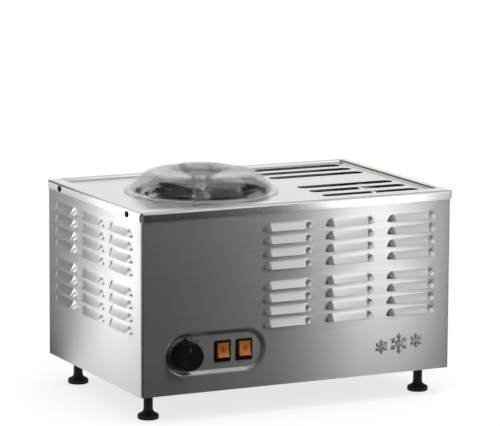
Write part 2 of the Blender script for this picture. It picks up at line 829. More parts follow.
# ------------------------------------------------------------------------------ wrap panel
@dataclass
class WrapPanel(Assembly):
    """Front and sides of the case in one folded sheet, with punched louvres and the control recess."""

    half_w: float = 223.2
    front: float = -150.7
    back: float = 149.0
    low: float = 36.2
    high: float = 269.9
    bend: float = 3.7
    sheet: float = 1.1
    fold_x: float = 208.0
    louvre_w: float = 71.5
    louvre_h: float = 11.0
    louvre_out: float = 5.5
    louvre_end: float = 11.0
    recess_at: Point2 = (-118.9, 86.9)
    recess_w: float = 140.0
    recess_h: float = 55.0
    recess_depth: float = 2.8
    shaft_hole_r: float = 5.6
    switch_hole_half: float = 9.9
    switch_hole_z: Point2 = (74.6, 99.8)
    # the recess's lip from outside in: inset from its outline, depth behind the front
    recess_wall: tuple[Point2, ...] = (
        (-1.8, 0.0), (-1.0, 0.03), (-0.2, 0.1), (0.6, 0.22), (1.2, 0.45), (1.9, 0.95), (2.6, 1.6),
        (3.3, 2.2), (4.0, 2.6), (4.8, 2.77), (5.6, 2.8))
    # middle and arm length of each snow crystal
    crystal_plan: tuple[Point, ...] = ((147.5, 75.0, 14.0), (121.5, 73.0, 10.0), (173.5, 77.0, 10.0))
    rows: tuple[float, ...] = (238.35, 221.8, 205.3, 188.7, 162.8, 146.3, 129.7, 113.2)
    front_cols: tuple[float, ...] = (-17.5, 73.05, 163.65)
    side_cols: tuple[float, ...] = (-87.0, 2.0, 91.0)

    def louvre(self, d: MeshDraft, to_wall: WallPoint, centre: float, z: float) -> list[int]:
        """Adds one hood and returns the outline of its hole in the wall.

        Args:
            d: the draft to add to.
            to_wall: function of (along, out, z) that gives a point.
            centre: the louvre's middle along the wall.
            z: height of its lower edge.

        Returns:
            Point numbers of the hole's outline.
        """
        ends = (0.0, 0.3, 1.0, 2.2, 4.0, 6.2, 8.4, 10.3, 11.0)
        offsets = [-self.louvre_w / 2 + e for e in ends] + [-23.8, 0.0, 23.8]
        offsets += [self.louvre_w / 2 - e for e in reversed(ends)]
        steps = 7
        columns: list[list[int]] = []
        for s in offsets:
            e = min(s + self.louvre_w / 2, self.louvre_w / 2 - s)
            shoulder = math.sqrt(max(0.0, 1.0 - (1.0 - min(e, self.louvre_end) / self.louvre_end) ** 2))
            if shoulder < 1e-6:
                corner = d.ring([to_wall(centre + s, 0.0, z)])
                columns.append(corner * (steps + 1))
                continue
            hip = (min(e, self.louvre_end) / self.louvre_end) ** 0.7
            column = []
            for i in range(steps + 1):
                t = i / steps
                out = self.louvre_out * hip * (1.0 - t) ** 1.35
                column.append((to_wall(centre + s, out, z + self.louvre_h * shoulder * t)))
            columns.append(d.ring(column))
        for a, b in zip(columns, columns[1:]):
            for i in range(steps):
                d.face([a[i], b[i], b[i + 1], a[i + 1]])
        return [column[-1] for column in columns]

    def recess(self, d: MeshDraft) -> list[int]:
        """Adds the pressed stadium recess with its cut-outs.

        Args:
            d: the draft to add to.

        Returns:
            Point numbers of its outline in the front wall.
        """
        (cx, cz), w, h = self.recess_at, self.recess_w, self.recess_h
        rings = []
        for inset, depth in self.recess_wall:
            rings.append(d.ring([(x, self.front + depth, z)
                                 for x, z in stadium(cx, cz, w - 2 * inset, h - 2 * inset, 20)]))
        for a, b in zip(rings, rings[1:]):
            d.bridge(a, b)
        floor = self.front + self.recess_depth
        holes = [d.ring([(x, floor, z) for x, z in circle(*KNOB_AT, self.shaft_hole_r, 24)])]
        half, (low, high) = self.switch_hole_half, self.switch_hole_z
        for x, _ in SWITCHES:
            corners = ((x - half, low), (x + half, low), (x + half, high), (x - half, high))
            holes.append(d.ring([(px, floor, pz) for px, pz in corners]))
        d.fill(rings[-1], holes)
        return rings[0]

    def build(self) -> None:
        """Builds the sheet: louvred front and sides, round corners and folded back edges."""
        d = MeshDraft()
        w, b = self.half_w, self.bend

        def on_front(along: float, out: float, z: float) -> Point:
            """A point on the front wall."""
            return (along, self.front - out, z)

        def on_side(sign: float) -> WallPoint:
            """A function that places points on the left (-1) or right (+1) wall."""
            return lambda along, out, z: (sign * (w + out), along, z)

        low, high, near, far = self.low, self.high, self.front + b, self.back
        corners = ((-w + b, low), (w - b, low), (w - b, high), (-w + b, high))
        outer = d.ring([on_front(x, 0.0, z) for x, z in corners])
        holes = [self.louvre(d, on_front, x, z) for x in self.front_cols for z in self.rows]
        holes.append(self.recess(d))
        d.fill(outer, holes)
        for sign in (-1.0, 1.0):
            wall = on_side(sign)
            corners = ((near, low), (far, low), (far, high), (near, high))
            outer = d.ring([wall(y, 0.0, z) for y, z in corners])
            holes = [self.louvre(d, wall, y, z) for y in self.side_cols for z in self.rows]
            d.fill(outer, holes)
            previous: list[int] = []
            for k in range(9):
                a = math.radians(90.0 * k / 8)
                x, y = sign * (w - b + b * math.sin(a)), self.front + b - b * math.cos(a)
                ring = d.ring([(x, y, low), (x, y, high)])
                if previous:
                    d.bridge(previous, ring, closed=False)
                previous = ring
            edge = d.ring([wall(far, 0.0, low), wall(far, 0.0, high)])
            fold = d.ring([(sign * self.fold_x, far, low), (sign * self.fold_x, far, high)])
            d.bridge(edge, fold, closed=False)
        obj = d.build("wrap_sheet", self.fin.front_steel, thick=self.sheet, smooth_deg=34.0,
                      edge=self.fin.sheared)
        self.place(obj, "case", "steel", "wrap_panel")
        self.crystals()

    def crystals(self) -> None:
        """Adds the generic pressed sign on the front: one snow crystal between two smaller ones."""
        d = MeshDraft()
        for cx, cz, size in self.crystal_plan:
            bars = [((0.0, 0.0), (60.0 * k + 90.0), size, 1.9) for k in range(6)]
            for k in range(6):
                a = math.radians(60.0 * k + 90.0)
                at = (0.55 * size * math.cos(a), 0.55 * size * math.sin(a))
                bars += [(at, 60.0 * k + 90.0 + turn, size * 0.32, 1.4) for turn in (50.0, -50.0)]
            for (bx, bz), degrees, length, half in bars:
                a = math.radians(degrees)
                ux, uz = math.cos(a), math.sin(a)
                previous: list[int] = []
                for along in (0.0, 0.25, 0.5, 0.75, 0.92, 1.0):
                    taper = math.sqrt(max(0.02, 1.0 - max(0.0, along - 0.75) ** 2 * 15.9))
                    ring = []
                    for i in range(9):
                        t = math.pi * i / 8
                        side, lift = half * taper * math.cos(t), 1.1 * taper * math.sin(t)
                        ring.append((cx + bx + ux * length * along - uz * side, self.front + 0.05 - lift,
                                     cz + bz + uz * length * along + ux * side))
                    numbers = d.ring(ring)
                    if previous:
                        d.bridge(previous, numbers)
                    else:
                        d.face(numbers)
                    previous = numbers
                d.face(list(reversed(previous)))
        self.place(d.build("pressed_crystals", self.fin.front_steel, weld=0.0001), "case", "steel")


# ------------------------------------------------------------------------------ rear panel, pan, fasteners
@dataclass
class CaseBack(Assembly):
    """Rear panel with its vent slots, the mains inlet, base pan, feet and every screw."""

    width_half: float = 223.0
    wall_y: float = 150.5
    low: float = 36.2
    high: float = 269.9
    sheet: float = 1.1
    vent_rows: int = 9
    vent_pitch: float = 11.0
    feet: tuple[tuple[float, float, str], ...] = (
        (-197.0, -114.0, "left_front"), (-197.0, 114.0, "left_back"), (197.0, -114.0, "right_front"),
        (197.0, 114.0, "right_back"))

    def build(self) -> None:
        """Builds and dresses the back and the underside."""
        self.rear()
        self.stand()
        self.screws()
        self.dress("base_pan", self.fin.zinc)
        for name in [n for n in self.frame["nodes"] if n.startswith("foot_nut")]:
            self.dress(name, self.fin.zinc, 0.4)
        self.dress("mains_inlet", self.fin.black, 0.6)

    def rear(self) -> None:
        """Builds the rear sheet."""
        d = MeshDraft()
        y, half = self.wall_y, self.width_half
        outer = d.ring([(-half, y, self.low), (half, y, self.low), (half, y, self.high),
                        (-half, y, self.high)])
        holes = []
        for k in range(self.vent_rows):
            z = 71.8 + self.vent_pitch * k
            holes.append(d.ring([(x, y, h) for x, h in stadium(134.0, z, 100.0, 3.6, 6)]))
            holes.append(d.ring([(x, y, h) for x, h in stadium(-10.0, z + 60.0, 100.0, 3.6, 6)]))
        for x in (-215.0, 215.0):
            for z in (60.0, 240.0):
                holes.append(d.ring([(px, y, pz) for px, pz in circle(x, z, 2.2, 16)]))
        corners = ((-164.0, 68.0), (-136.0, 68.0), (-136.0, 92.0), (-164.0, 92.0))
        holes.append(d.ring([(x, y, z) for x, z in corners]))
        d.fill(outer, holes)
        obj = d.build("rear_sheet", self.fin.front_steel, thick=self.sheet)
        self.place(obj, "case", "steel", "rear_panel")

    def stand(self) -> None:
        """Builds the four turned feet."""
        tread = [(12.8, 0.15), (13.6, 0.9), (13.75, 2.2), (13.75, 4.6), (13.3, 5.9), (11.6, 7.1),
                 (8.8, 8.5), (7.1, 10.2), (6.25, 12.6), (6.05, 15.0)]
        profile = [(0.0, 0.0), (11.6, 0.0)] + smooth_line(tread, 4)
        profile += [(6.0, 34.9), (5.2, 35.7), (3.7, 35.7), (3.7, 43.4), (3.1, 44.0), (0.0, 44.0)]
        for x, y, end in self.feet:
            d = MeshDraft()
            d.turned(profile, (x, y), 56)
            self.place(d.build(f"foot_{end}_turned", self.fin.rubber), "case", "rubber", f"foot_{end}")

    def screws(self) -> None:
        """Builds the pan-head screws with their cross recesses."""
        profile = [(0.0, -9.0), (1.6, -9.0), (1.8, -8.6), (1.8, 0.0), (4.05, 0.0), (4.1, 0.25)]
        profile += smooth_line([(4.1, 0.6), (3.9, 1.0), (3.3, 1.4), (2.2, 1.64), (1.2, 1.7)], 3)
        profile.append((0.0, 1.7))
        seats: list[tuple[str, float, Point]] = []
        for sign, side in ((-1.0, "left"), (1.0, "right")):
            for y, end in ((-109.0, "front"), (110.0, "back")):
                seats.append((f"cover_screw_{side}_{end}", 90.0 * sign, (sign * 225.05, y, 266.5)))
            for z, end in ((60.0, "lower"), (240.0, "upper")):
                seats.append((f"rear_screw_{side}_{end}", 180.0, (sign * 215.0, 150.55, z)))
        base = MeshDraft()
        base.turned(profile, (0.0, 0.0), 32)
        for number, (node, heading, at) in enumerate(seats):
            twist = Euler((0.0, 0.0, math.radians(37.0 * number)))
            turn = Euler((UPRIGHT.x, 0.0, math.radians(heading)))
            obj = base.moved(twist).moved(turn, at).build(f"{node}_pan_head", self.fin.screw)
            cutter = MeshDraft()
            for a, b in ((2.3, 0.42), (0.42, 2.3)):
                cutter.prism([(-a, -b), (a, -b), (a, b), (-a, b)], 0.7, 3.0)
            tool = cutter.moved(twist).moved(turn, at).build("cross_tool", self.fin.ink)
            carve(obj, tool)
            self.place(obj, "case", "zinc", node)


def carve(obj: bpy.types.Object, tool: bpy.types.Object) -> None:
    """Cuts a tool's shape out of an object and removes the tool.

    Args:
        obj: the object to cut; it keeps its first material.
        tool: the shape to take away.
    """
    cut = obj.modifiers.new("carve", "BOOLEAN")
    cut.operation = "DIFFERENCE"
    cut.solver = "EXACT"
    cut.use_self = True
    cut.object = tool
    material = obj.data.materials[0]
    mesh = applied_mesh(obj)
    obj.modifiers.clear()
    obj.data = mesh
    bpy.data.objects.remove(tool)
    mesh.materials.clear()
    mesh.materials.append(material)
    mesh.polygons.foreach_set("material_index", [0] * len(mesh.polygons))
    mesh.polygons.foreach_set("use_smooth", [True] * len(mesh.polygons))
    mesh.set_sharp_from_angle(angle=math.radians(SHARP_DEG))


# ------------------------------------------------------------------------------ control panel
@dataclass
class Controls(Assembly):
    """Timer knob with its printed dial, and the two rocker switches."""

    floor_y: float = -147.9
    switch_z: float = 87.2
    pivot_y: float = -142.0
    tilt: float = -8.0          # degrees; the keys' rest position
    key_half_w: float = 7.85
    key_half_h: float = 9.3
    tick_deg: float = 5.0       # turn of the knob for each minute
    minutes: int = 60

    def build(self) -> None:
        """Builds the controls."""
        self.knob()
        self.dial()
        for x, side in SWITCHES:
            self.housing(x, side)
            self.rocker(x, side)
        self.dress("timer_shaft", self.fin.zinc)
        self.dress("timer_body", self.fin.white, 0.8)

    def knob(self) -> None:
        """Builds the fluted knob, axis along -Y."""
        x, z = KNOB_AT
        front, back = 167.5, 148.4

        def flute(angle: float, ring: int) -> float:
            """Cuts round flutes between grip ribs, fading into the skirt and the nose.

            Args:
                angle: the angle about the knob's axis.
                ring: the profile ring's number.

            Returns:
                The radius factor there.
            """
            depth = (0, 0, 0, 0, 0, 0.35, 0.8, 1.0, 1.0, 1.0, 1.0, 0.85, 0.4, 0.0)
            amount = depth[ring] if ring < len(depth) else 0.0
            wave = abs(math.sin(9.0 * (angle - math.pi / 2.0)))
            return 1.0 - 0.06 * amount * (1.0 - wave ** 0.6)

        profile = [(7.0, back + 3.5), (7.0, back), (18.4, back), (19.0, back + 0.5), (19.0, back + 1.9),
                   (18.8, back + 2.5), (18.9, back + 3.1), (18.9, back + 4.4), (18.9, back + 8.0),
                   (18.8, back + 12.0), (18.7, front - 2.6), (18.4, front - 1.2), (17.9, front - 0.4),
                   (17.0, front), (14.6, front), (14.0, front - 0.5), (4.0, front - 0.9),
                   (0.0, front - 0.9)]
        d = MeshDraft()
        d.turned(profile, (0.0, 0.0), 240, flute)
        bore = MeshDraft()
        bore.turned([(7.0, back + 3.5), (0.0, back + 3.5)], (0.0, 0.0), 240)
        d.add(bore)
        pointer = MeshDraft()
        pointer.prism([(-2.4, 17.0), (2.4, 17.0), (0.4, 21.1), (-0.4, 21.1)], back + 0.3, back + 5.0)
        d.add(pointer)
        obj = d.moved(UPRIGHT, (x, 0.0, z)).build("timer_knob_fluted", self.fin.black, smooth_deg=32.0)
        self.place(obj, "timer", "black", "timer_knob")
        line = MeshDraft()
        line.prism([(-0.7, 6.0), (0.7, 6.0), (0.7, 14.0), (-0.7, 14.0)], front - 1.0, front - 0.55)
        mark = line.moved(UPRIGHT, (x, 0.0, z)).build("knob_line", self.fin.grey_ink, bevel=0.1)
        self.place(mark, "timer", "black")

    def dial(self) -> None:
        """Prints the dial: a tick for each minute and a number for every tenth, round the knob."""
        x, z = KNOB_AT
        d = MeshDraft()
        for k in range(self.minutes + 1):
            a = math.radians(90.0 - self.tick_deg * k)
            inner, outer, half = (20.2, 23.2, 0.6) if k % 5 == 0 else (20.4, 22.2, 0.36)
            ux, uz = math.cos(a), math.sin(a)
            plan = ((inner, -half), (outer, -half), (outer, half), (inner, half))
            d.face(d.ring([(x + ux * r - uz * s, self.floor_y - 0.04, z + uz * r + ux * s) for r, s in plan]))
        ticks = d.build("dial_ticks", self.fin.ink)
        self.place(ticks, "case", "black")
        for k in range(0, self.minutes + 1, 10):
            a = math.radians(90.0 - self.tick_deg * k)
            self.figure(f"dial_{k:02d}", str(k),
                        (x + 24.4 * math.cos(a), self.floor_y - 0.05, z + 24.4 * math.sin(a)), 4.0)

    def figure(self, name: str, text: str, at: Point, size: float) -> None:
        """Prints one number, centred at a point of the recess floor.

        Args:
            name: the piece's name.
            text: the number.
            at: its middle.
            size: its height in millimetres.
        """
        curve = bpy.data.curves.new(name, "FONT")
        curve.body = text
        curve.size = size * MM
        curve.align_x = "CENTER"
        curve.align_y = "CENTER"
        obj = linked(name, curve)
        mesh = applied_mesh(obj)
        bpy.data.objects.remove(obj)
        mesh.transform(UPRIGHT.to_matrix().to_4x4())
        for vertex in mesh.vertices:
            vertex.co += to_row(at)
        self.place(finish_object(name, mesh, self.fin.ink), "case", "black")

    def housing(self, x: float, side: str) -> None:
        """Builds one switch bezel and body.

        Args:
            x: the switch's middle.
            side: "left" or "right".
        """
        z = self.switch_z
        d = MeshDraft()

        def loop(w: float, h: float, r: float, y: float) -> list[int]:
            """A rounded rectangle facing the front."""
            return d.ring([(x + px, y, z + pz)
                           for px, pz, _ in rounded_rect(-w / 2, w / 2, -h / 2, h / 2, r, 0.0, 5)])

        rings = [loop(19.0, 24.4, 0.8, -124.0), loop(19.0, 24.4, 0.8, -147.6),
                 loop(22.9, 28.3, 1.6, -148.2), loop(22.9, 28.3, 1.6, -149.1),
                 loop(22.3, 27.7, 1.5, -149.65), loop(21.3, 26.7, 1.3, -149.9),
                 loop(17.9, 23.7, 0.9, -149.9), loop(17.0, 22.8, 0.7, -149.4),
                 loop(16.6, 22.4, 0.6, -146.0), loop(16.6, 22.4, 0.6, -134.0)]
        for a, b in zip(rings, rings[1:]):
            d.bridge(a, b)
        d.fill(rings[0])
        d.fill(rings[-1])
        self.place(d.build(f"switch_bezel_{side}", self.fin.black), "case", "black", f"switch_housing_{side}")

    def face_y(self, z: float) -> float:
        """Front face of the untilted rocker at a height above its pivot."""
        t = z / self.key_half_h
        return -11.0 + 1.8 * (1.0 - t * t)

    def rocker(self, x: float, side: str) -> None:
        """Builds one saddle-faced rocker, tilted to its rest position, and its printed sign.

        Args:
            x: the switch's middle.
            side: "left" or "right".
        """
        outline = [(self.face_y(z), z) for z in (self.key_half_h * (1.0 - i / 12.0) for i in range(25))]
        outline = list(reversed(outline)) + [(-7.6, 9.9), (-0.5, 9.2), (3.0, 3.0), (3.0, -3.0),
                                             (-0.5, -9.2), (-7.6, -9.9)]
        d = MeshDraft()
        left = d.ring([(-self.key_half_w, y, z) for y, z in outline])
        right = d.ring([(self.key_half_w, y, z) for y, z in outline])
        d.bridge(left, right)
        d.fill(left)
        d.fill(right)
        turn = Euler((math.radians(self.tilt), 0.0, 0.0))
        at = (x, self.pivot_y, self.switch_z)
        obj = d.moved(turn, at).build(f"rocker_key_{side}", self.fin.orange, bevel=0.7)
        self.place(obj, f"rocker_{side}", "orange", f"rocker_{side}")
        sign = self.sign(side).moved(turn, at).build(f"rocker_sign_{side}", self.fin.ink)
        self.place(sign, f"rocker_{side}", "black")

    def sign(self, side: str) -> MeshDraft:
        """Draws the rocker's printed sign: a stirring paddle on the left, a snow crystal on the right.

        Args:
            side: "left" or "right".

        Returns:
            The sign, about the rocker's pivot.
        """
        d = MeshDraft()

        def stroke(a: Point2, b: Point2, half: float) -> None:
            """Adds a printed line on the curved face.

            Args:
                a: one end, across and up from the pivot.
                b: the other end.
                half: half the line's width.
            """
            length = math.hypot(b[0] - a[0], b[1] - a[1])
            nx, nz = -(b[1] - a[1]) / length * half, (b[0] - a[0]) / length * half
            steps = [i / 4 for i in range(5)]
            corners = [(a[0] + (b[0] - a[0]) * t + nx, a[1] + (b[1] - a[1]) * t + nz) for t in steps]
            corners += [(a[0] + (b[0] - a[0]) * t - nx, a[1] + (b[1] - a[1]) * t - nz)
                        for t in reversed(steps)]
            d.fill(d.ring([(px, self.face_y(pz) - 0.06, pz) for px, pz in corners]))

        if side == "right":
            for k in range(6):
                a = math.radians(60.0 * k + 30.0)
                stroke((0.0, 0.6), (3.6 * math.cos(a), 0.6 + 3.6 * math.sin(a)), 0.34)
                for turn in (40.0, -40.0):
                    b = a + math.radians(turn)
                    root = (2.2 * math.cos(a), 0.6 + 2.2 * math.sin(a))
                    stroke(root, (root[0] + 1.2 * math.cos(b), root[1] + 1.2 * math.sin(b)), 0.26)
        else:
            stroke((0.0, 4.2), (0.0, -3.4), 0.4)
            for pz in (2.2, 0.2, -1.8):
                stroke((-2.6, pz + 0.9), (2.6, pz - 0.9), 0.36)
        return d


# ------------------------------------------------------------------------------ bowl, drive, lid
@dataclass
class BowlUnit(Assembly):
    """Fixed steel bowl with its seal, coil, insulation and the bushings of the drive shaft."""

    axis: Point2 = BOWL_AXIS
    coil_r: float = 92.0
    coil_low: float = 174.0
    coil_pitch: float = 15.5
    coil_turns: int = 4
    tube_r: float = 3.2

    def build(self) -> None:
        """Builds the bowl group."""
        turns = [math.radians(9.0 * k) for k in range(11)]
        corner = [(74.0 + 11.5 * math.sin(a), 166.2 - 11.5 * math.cos(a)) for a in turns]
        outside = [(73.8 + 12.9 * math.sin(a), 166.4 - 12.9 * math.cos(a)) for a in turns]
        profile = [(8.0, 236.5), (8.0, 153.5)] + outside
        profile += [(86.7, 265.0), (100.0, 265.0), (100.0, 266.2), (86.7, 266.2), (86.7, 269.6)]
        profile += [(86.5, 269.9), (86.1, 270.0), (85.7, 269.9), (85.5, 269.6)] + list(reversed(corner))
        profile += smooth_line([(14.0, 154.7), (11.2, 155.2), (9.6, 156.6), (9.2, 159.0)], 4)
        profile += [(9.2, 235.9), (8.9, 236.4), (8.0, 236.5)]
        d = MeshDraft()
        d.turned(profile, self.axis, 128)
        self.place(d.build("bowl_spun", self.fin.bowl_steel), "case", "polished", "bowl", "bowl_base")
        coil = [(self.axis[0] + 125.0, -4.0, 173.0), (self.axis[0] + 104.0, -4.0, 173.5)]
        for i in range(self.coil_turns * 24 + 1):
            a = TAU * i / 24
            coil.append((self.axis[0] + self.coil_r * math.cos(a), self.axis[1] + self.coil_r * math.sin(a),
                         self.coil_low + self.coil_pitch * i / 24))
        coil += [(self.axis[0] + 104.0, 4.0, 236.6), (self.axis[0] + 125.0, 4.0, 237.0)]
        self.place(sweep("evaporator_tube", coil, self.tube_r, self.fin.copper), "case", "copper",
                   "evaporator_coil")
        self.dress("bowl_insulation", self.fin.foam)
        self.dress("bowl_gasket", self.fin.rubber)
        for end in ("lower", "upper"):
            self.dress(f"shaft_bushing_{end}", self.fin.bronze)


@dataclass
class Drive(Assembly):
    """Motor, gearbox and bracket under the bowl, and the shaft with the dasher and its nut."""

    axis: Point2 = BOWL_AXIS
    blade_half: float = 1.7
    blade_turn: float = 30.0    # degrees; where the blades stand at rest

    def build(self) -> None:
        """Builds the drive."""
        self.dress("motor_bracket", self.fin.zinc, 0.5)
        self.dress("gearbox", self.fin.aluminium, 1.2)
        self.dress("drive_motor", self.fin.enamel, 0.8)
        self.dress("drive_shaft", self.fin.polished)
        self.dasher()
        nut = MeshDraft()
        nut.turned([(4.1, 270.7), (9.9, 270.7), (10.4, 271.2), (10.4, 272.6), (10.0, 273.2), (8.6, 274.0),
                    (7.6, 275.2), (7.4, 276.4), (7.4, 278.5), (7.0, 279.1), (6.2, 279.4), (4.1, 279.4),
                    (4.1, 270.7)], self.axis, 48,
                   lambda a, k: 1.0 - (0.05 * (0.5 + 0.5 * math.cos(12.0 * a)) if 2 <= k <= 4 else 0.0))
        self.place(nut.build("dasher_nut_knurled", self.fin.polished), "drive", "polished", "dasher_nut")

    def dasher(self) -> None:
        """Builds the hub and its two windowed scraping blades in one steel piece."""
        d = MeshDraft()
        d.turned([(10.2, 240.0), (10.2, 156.4), (14.0, 156.4), (14.5, 156.9), (14.5, 256.0)]
                 + smooth_line([(14.4, 259.0), (13.9, 262.5), (13.2, 266.0), (12.9, 268.6)], 3)
                 + [(12.7, 270.0), (12.2, 270.4), (4.3, 270.4), (4.3, 262.3), (6.6, 262.3), (6.6, 240.0),
                    (10.2, 240.0)], (0.0, 0.0), 72)
        low_turns = [math.radians(10.0 * k) for k in range(3, 10)]
        high_turns = [math.radians(15.0 * k) for k in range(7)]
        outline = [(11.6, 157.4), (78.6, 157.4)]
        outline += [(73.6 + 10.8 * math.sin(a), 168.2 - 10.8 * math.cos(a)) for a in low_turns]
        outline.append((84.4, 236.0))
        outline += [(78.4 + 6.0 * math.cos(a), 238.0 + 6.0 * math.sin(a)) for a in high_turns]
        outline += smooth_line([(60.0, 245.4), (40.0, 247.2), (34.0, 250.2), (31.0, 255.0), (28.0, 260.6),
                                (23.0, 262.8)], 4)
        outline.append((12.0, 263.0))
        window = [(x, z) for x, z, _ in rounded_rect(27.0, 70.0, 171.0, 212.0, 6.0, 0.0, 6)]
        for angle in (0.0, 180.0):
            blade = MeshDraft()
            outer = [blade.ring([(x, s, z) for x, z in outline]) for s in (-self.blade_half, self.blade_half)]
            inner = [blade.ring([(x, s, z) for x, z in window]) for s in (-self.blade_half, self.blade_half)]
            blade.bridge(*outer)
            blade.bridge(*inner)
            for o, i in zip(outer, inner):
                blade.fill(o, [i])
            d.add(blade.moved(Euler((0.0, 0.0, math.radians(angle)))))
        obj = d.moved(Euler((0.0, 0.0, math.radians(self.blade_turn))), (*self.axis, 0.0)).build(
            "dasher_blades", self.fin.bowl_steel, bevel=0.5, weld=0.0005)
        self.place(obj, "drive", "polished", "dasher")


@dataclass
class Lid(Assembly):
    """Clear domed lid and the lift-out cup in its middle."""

    axis: Point2 = BOWL_AXIS

    def build(self) -> None:
        """Builds both clear pieces."""
        outer = [(94.2, 270.6), (101.4, 270.6), (101.9, 270.9), (102.0, 271.4), (102.0, 272.0),
                 (101.7, 272.4), (101.0, 272.6), (94.6, 272.8)]
        outer += smooth_line([(93.6, 273.1), (92.9, 274.6), (92.3, 277.0), (90.9, 280.2), (88.0, 284.0),
                              (84.4, 287.4), (80.0, 290.8), (75.4, 293.8), (71.0, 295.9), (65.0, 297.1),
                              (59.0, 296.3), (52.0, 294.3), (44.0, 292.1), (34.0, 290.1), (24.0, 288.8),
                              (18.4, 288.7)], 4)
        outer += [(16.6, 289.4), (16.2, 290.4), (15.7, 291.0), (12.9, 291.0), (12.4, 290.5), (12.4, 286.0)]
        inner = smooth_line([(13.2, 285.5), (18.0, 286.0), (24.0, 286.5), (34.0, 287.8), (44.0, 289.9),
                             (52.0, 292.1), (59.0, 294.1), (65.0, 294.9), (70.2, 293.8), (74.4, 291.8),
                             (78.8, 288.9), (82.8, 285.6), (86.0, 281.9), (88.6, 278.9), (90.0, 276.4),
                             (90.9, 273.9), (91.4, 271.9)], 4)
        d = MeshDraft()
        d.turned(outer + inner + [(92.4, 270.6), (94.2, 270.6)], self.axis, 144)
        self.place(d.build("lid_dome", self.fin.clear, smooth_deg=50.0), "lid", "clear", "lid")
        cup = [(0.0, 285.0), (10.4, 285.0), (11.1, 285.5), (11.4, 286.4), (11.5, 291.3), (19.6, 291.3)]
        cup += smooth_line([(21.0, 291.6), (23.6, 293.5), (26.6, 296.5), (29.6, 299.6), (31.6, 302.0)], 4)
        cup += [(32.4, 302.7), (32.6, 303.3), (32.4, 303.8), (31.7, 304.0), (31.1, 303.7)]
        cup += smooth_line([(29.8, 302.2), (27.6, 299.8), (24.8, 296.8), (22.2, 294.5), (20.2, 293.6)], 4)
        cup += [(19.2, 293.5), (10.4, 293.5), (9.9, 293.8), (9.7, 294.4), (9.2, 299.4), (8.9, 300.4),
                (8.2, 301.1), (7.0, 301.4), (0.0, 301.4)]
        c = MeshDraft()
        c.turned(cup, self.axis, 96)
        self.place(c.build("lid_cup_moulded", self.fin.clear, smooth_deg=50.0), "lid_cup", "clear", "lid_cup")


